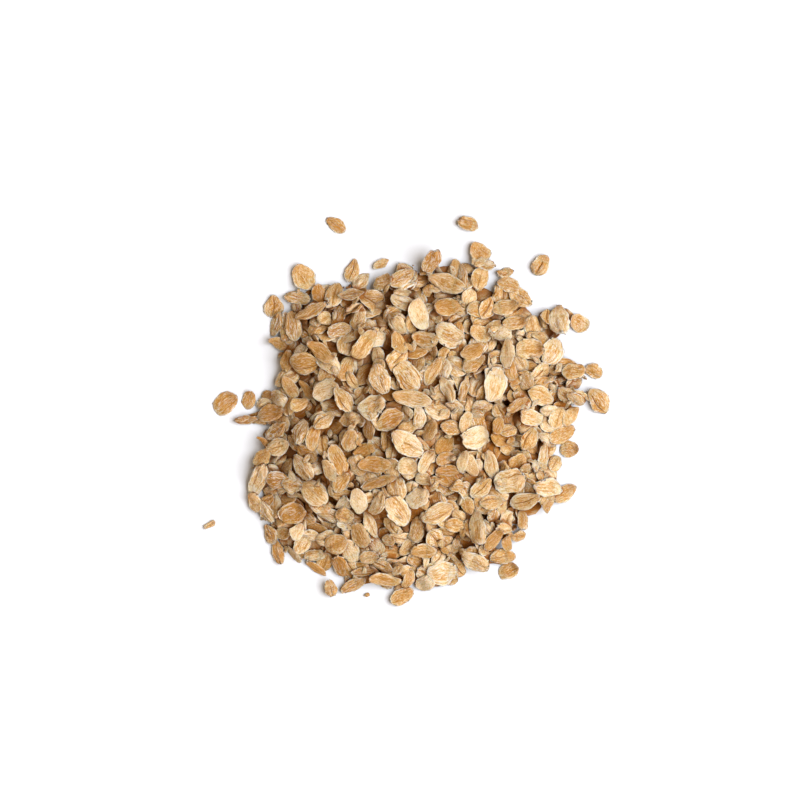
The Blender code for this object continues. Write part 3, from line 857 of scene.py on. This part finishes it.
def modelCore(ground, mean, inside):
    # a plain dome of oats under the loose flakes, pulled down from the heap's own surface
    selectNothing()
    low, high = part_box("oat_heap")
    middle, reach = (low + high) / 2, max(high.x - low.x, high.y - low.y)
    bpy.ops.mesh.primitive_grid_add(x_subdivisions=70, y_subdivisions=70, size=reach,
                                    location=(middle.x, middle.y, 0))
    bpy.ops.object.transform_apply(location=True, rotation=False, scale=False)
    core = bpy.context.active_object
    core.name = "oat_core"
    bpy.ops.object.mode_set(mode="EDIT")
    bpy.ops.mesh.select_mode(type="VERT")
    edit = bmesh.from_edit_mesh(core.data)
    for point in edit.verts:
        cell = ground.cell(point.co.x / mm, point.co.y / mm)
        point.select = bool(inside[cell] < 0.5)
        point.co.z = max(mean[cell] * pile["looseLevel"] - pile["coreDepth"], 1.0) * mm
    edit.select_flush_mode()
    bpy.ops.mesh.delete(type="VERT")
    bpy.ops.mesh.select_all(action="SELECT")
    bpy.ops.mesh.extrude_region_move(TRANSFORM_OT_translate={"value": (0, 0, -0.03)})
    bpy.ops.transform.resize(value=(1, 1, 0), center_override=(0, 0, 0.0003))
    bpy.ops.mesh.select_all(action="SELECT")
    bpy.ops.mesh.normals_make_consistent(inside=False)
    bpy.ops.object.mode_set(mode="OBJECT")
    core.data.shade_smooth()
    core.data.materials.clear()
    core.data.materials.append(coreMaterial())
    return core


def pickKind():
    draw = dice.random() * sum(k["share"] for k in flakeKinds.values())
    for kind, look in flakeKinds.items():
        draw -= look["share"]
        if draw <= 0:
            return kind
    return "creased"


def looks(kind, tone=None):
    tone = between(tones[kind]) if tone is None else tone
    return tone, dice.uniform(0, 40), dice.uniform(0.3, 1.0)


def fillPile(ground, mean, allowed, forms, copies):
    # loose flakes dropped one by one into whatever place is lowest
    cells = np.argwhere(allowed)
    level = mean * pile["looseLevel"]
    steep = 0
    for number in range(pile["looseFlakes"]):
        tries = [tuple(cells[dice.randrange(len(cells))]) for _ in range(pile["tries"])]
        lacking = [level[t] - ground.height[t] for t in tries]
        best = max(range(len(tries)), key=lacking.__getitem__)
        if lacking[best] < pile["enough"]:
            break
        x, y = ground.place(*tries[best])
        kind = pickKind()
        form = dice.choice(forms[kind])
        length = between(looseSizes["length"])
        width = length * between(looseSizes["ratio"])
        if kind == "chip":
            length, width = length * 0.7, width * 0.8
        if kind == "wide":
            width = length * dice.uniform(0.75, 0.95)
        turn = dice.uniform(0, math.tau)
        if dice.random() < pile["steepShare"]:
            # wedged on its edge between its neighbours
            slope = math.tan(math.radians(dice.uniform(50, 72)))
            away = turn + math.pi / 2 * dice.choice((-1, 1))
            tilt = np.array([math.cos(away), math.sin(away)]) * slope
            turned, place = ground.lay(form, x, y, length, width * 0.8, turn, tilt, 0.6)
            steep += 1
        else:
            turned, place = ground.lay(form, x, y, length, width, turn)
        copies[kind].append((form, turned, place, *looks(kind)))
    print(f"pile: {number + 1} loose flakes, {steep} of them on edge")


def layPicked(rows, ground, forms, copies, steepest):
    for kind, column, row, length, width, turn, tone in rows:
        x, y = onFloor(column, row)
        form = dice.choice(forms[kind])
        turned, place = ground.lay(form, x, y, length, width, math.radians(turn), clear=0.96, seen=steepest)
        copies[kind].append((form, turned, place, *looks(kind, tone)))


def layBits(ground, allowed, count, forms, copies):
    # broken bits that slip into the gaps between whole flakes
    cells = np.argwhere(allowed)
    around = blurred(ground.height, pile["blurReach"])
    for number in range(count):
        tries = [tuple(cells[dice.randrange(len(cells))]) for _ in range(bits["tries"])]
        best = max(tries, key=lambda cell: around[cell] - ground.height[cell])
        x, y = ground.place(*best)
        kind = dice.choice(("chip", "ridged", "smooth"))
        form = dice.choice(forms[kind])
        length = between(bits["length"])
        turned, place = ground.lay(form, x, y, length, length * between(bits["ratio"]),
                                   dice.uniform(0, math.tau), clear=0.9, thicker=0.7)
        copies[kind].append((form, turned, place, *looks(kind)))


def layCrumbs(ground, allowed, rim, forms, copies):
    for cells, count in ((np.argwhere(allowed), crumbs["onTop"]), (np.argwhere(rim), crumbs["roundRim"])):
        for number in range(count):
            x, y = ground.place(*cells[dice.randrange(len(cells))])
            size = crumbs["size"][0] + (crumbs["size"][1] - crumbs["size"][0]) * dice.random() ** 2
            form = dice.choice(forms)
            turned, place = ground.lay(form, x, y, size, size * dice.uniform(0.5, 0.9),
                                       dice.uniform(0, math.tau), thicker=size * 0.6)
            copies.append((form, turned, place, dice.uniform(0.3, 0.8), dice.uniform(0, 40), 1.0))
    column, row, size = crumbs["single"]
    turned, place = ground.lay(forms[0], *onFloor(column, row), size, size * 0.8, 0.6, thicker=size)
    copies.append((forms[0], turned, place, 0.4, 3.0, 0.5))


def makeStray(node, kind, length, width, turn, tone, finishes):
    # one flake alone on the floor, in the place of its plain solid
    form = Form(modelFlake(kind, f"for_{node}", fineMesh))
    low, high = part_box(node)
    middle = (low + high) / 2 / mm
    turned = np.array(turnMatrix(math.radians(turn))) * [length / form.length, width / form.width, 1.0]
    lift = -(form.points @ turned.T)[:, 2].min()
    place = np.array([middle.x, middle.y, lift + low.z / mm])
    piece = joinCopies(node + "_flake", [(form, turned, place, *looks(kind, tone))], finishes[kind])
    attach(piece, "root")
    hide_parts(node)
    return piece


def turnMatrix(angle):
    c, s = math.cos(angle), math.sin(angle)
    return [[c, -s, 0], [s, c, 0], [0, 0, 1]]


def makeFloor():
    selectNothing()
    bpy.ops.mesh.primitive_plane_add(size=6, location=(0, 0, 0))
    floor = bpy.context.active_object
    floor.name = "floor"
    material = bpy.data.materials.new("white table")
    material.use_nodes = True
    shader = material.node_tree.nodes["Principled BSDF"]
    shader.inputs["Base Color"].default_value = (*lights["table"], 1)
    shader.inputs["Roughness"].default_value = 0.7
    shader.inputs["Specular IOR Level"].default_value = 0.1
    floor.data.materials.append(material)


def makeLights():
    for name in ("key", "fill"):
        look = lights[name]
        light = bpy.data.lights.new(name, "AREA")
        light.size = look["size"]
        light.energy = look["watts"]
        light.color = look["colour"]
        lamp = bpy.data.objects.new(name, light)
        lamp.location = look["place"]
        lamp.rotation_euler = (-Vector(look["place"])).to_track_quat("-Z", "Y").to_euler()
        bpy.context.scene.collection.objects.link(lamp)
    world = bpy.data.worlds.new("studio")
    world.use_nodes = True
    world.node_tree.nodes["Background"].inputs["Color"].default_value = lights["worldColour"]
    world.node_tree.nodes["Background"].inputs["Strength"].default_value = lights["world"]
    bpy.context.scene.world = world
    bpy.context.scene.view_settings.view_transform = "Standard"


def makeCamera():
    data = bpy.data.cameras.new("camera")
    data.sensor_width = camera["sensor"]
    distance = camera["height"] - camera["focusHeight"]
    data.lens = camera["sensor"] * distance / (picture["across"] * picture["pixel"])
    middle = onFloor(picture["across"] / 2, picture["across"] / 2)
    eye = bpy.data.objects.new("camera", data)
    eye.location = (middle[0] * mm, middle[1] * mm, camera["height"] * mm)
    bpy.context.scene.collection.objects.link(eye)
    bpy.context.scene.camera = eye


print("stage: flake models")
guides = bendGuides()
plainForms = {kind: [Form(modelFlake(kind, n, plainMesh)) for n in range(look["models"])]
              for kind, look in flakeKinds.items()}
fineForms = {kind: [Form(modelFlake(kind, n, fineMesh)) for n in range(look["models"])]
             for kind, look in flakeKinds.items()}
crumbForms = [Form(modelCrumb(n)) for n in range(crumbs["models"])]

print("stage: height map and core")
lowest, highest = cadBox
ground = Ground((lowest[0] / mm - 4, lowest[1] / mm - 4),
                (highest[0] / mm + 4, highest[1] / mm + 4), pile["step"])
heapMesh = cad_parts["oat_heap"].data
heapTree = BVHTree.FromPolygons([v.co for v in heapMesh.vertices],
                                [list(p.vertices) for p in heapMesh.polygons])
solidTop = ground.castFrom(heapTree, 60)
onHeap = (solidTop > 0.05).astype(float)
mean = blurred(solidTop, pile["blurReach"])
nearRim = blurred(onHeap, round(pile["flakeMargin"] / pile["step"] * 0.9))
coreShare = blurred(onHeap, round(pile["coreMargin"] / pile["step"] * 0.9))
core = modelCore(ground, mean, (coreShare > 0.97).astype(float))
coreTree = BVHTree.FromPolygons([v.co for v in core.data.vertices],
                                [list(p.vertices) for p in core.data.polygons])
ground.height = ground.castFrom(coreTree, 60)

print("stage: loose flakes")
gapColumn, gapRow, gapReach = pile["gap"]
gapPlace = ground.cell(*onFloor(gapColumn, gapRow))
mapRows, mapColumns = np.indices(mean.shape)
clearOfGap = np.hypot(mapRows - gapPlace[0], mapColumns - gapPlace[1]) * pile["step"] > gapReach
copies = {kind: [] for kind in flakeKinds}
fillPile(ground, mean, (nearRim > pile["nearRim"]) & clearOfGap, plainForms, copies)
layBits(ground, (nearRim > bits["underRim"]) & clearOfGap, bits["under"], plainForms, copies)
fineCopies = {kind: [] for kind in flakeKinds}
layPicked(rimFlakes, ground, fineForms, fineCopies, 0.5)
layPicked(lowerFlakes, ground, fineForms, fineCopies, 0.7)
layPicked(upperFlakes, ground, fineForms, fineCopies, 0.5)
layBits(ground, (nearRim > bits["overRim"]) & clearOfGap, bits["over"], plainForms, copies)
ground.smooth = blurred(ground.height, pile["topReach"])
crumbCopies = []
outside = (blurred(onHeap, round(crumbs["reach"] / pile["step"] * 0.6)) > 0.12) & (onHeap < 0.5)
layCrumbs(ground, nearRim > bits["overRim"], outside, crumbForms, crumbCopies)
middle = mean > pile["middleLevel"]
print("highest point of the pile", round(float(ground.height.max()), 2), "mm, mean of its top",
      round(float(ground.height[middle].mean()), 2), "against", round(float(mean[middle].mean()), 2), "in the solid")

print("stage: pieces")
finishes = {kind: oatMaterial(f"{kind} oat flake", look) for kind, look in oatFinishes.items()}
pieces = [core]
for kind in flakeKinds:
    pieces.append(joinCopies(f"{kind}_flakes", copies[kind] + fineCopies[kind], finishes[kind]))
pieces.append(joinCopies("oat_crumbs", crumbCopies, finishes["crumb"]))
for piece in pieces:
    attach(piece, "root")
    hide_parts("oat_heap")
    print(piece.name, len(piece.data.vertices), "points", len(piece.data.polygons), "faces")
for node, facts in strayFlakes.items():
    makeStray(node, *facts, finishes)
for guide in guides.values():
    bpy.data.objects.remove(guide)

print("stage: floor, light and camera")
makeFloor()
makeLights()
makeCamera()
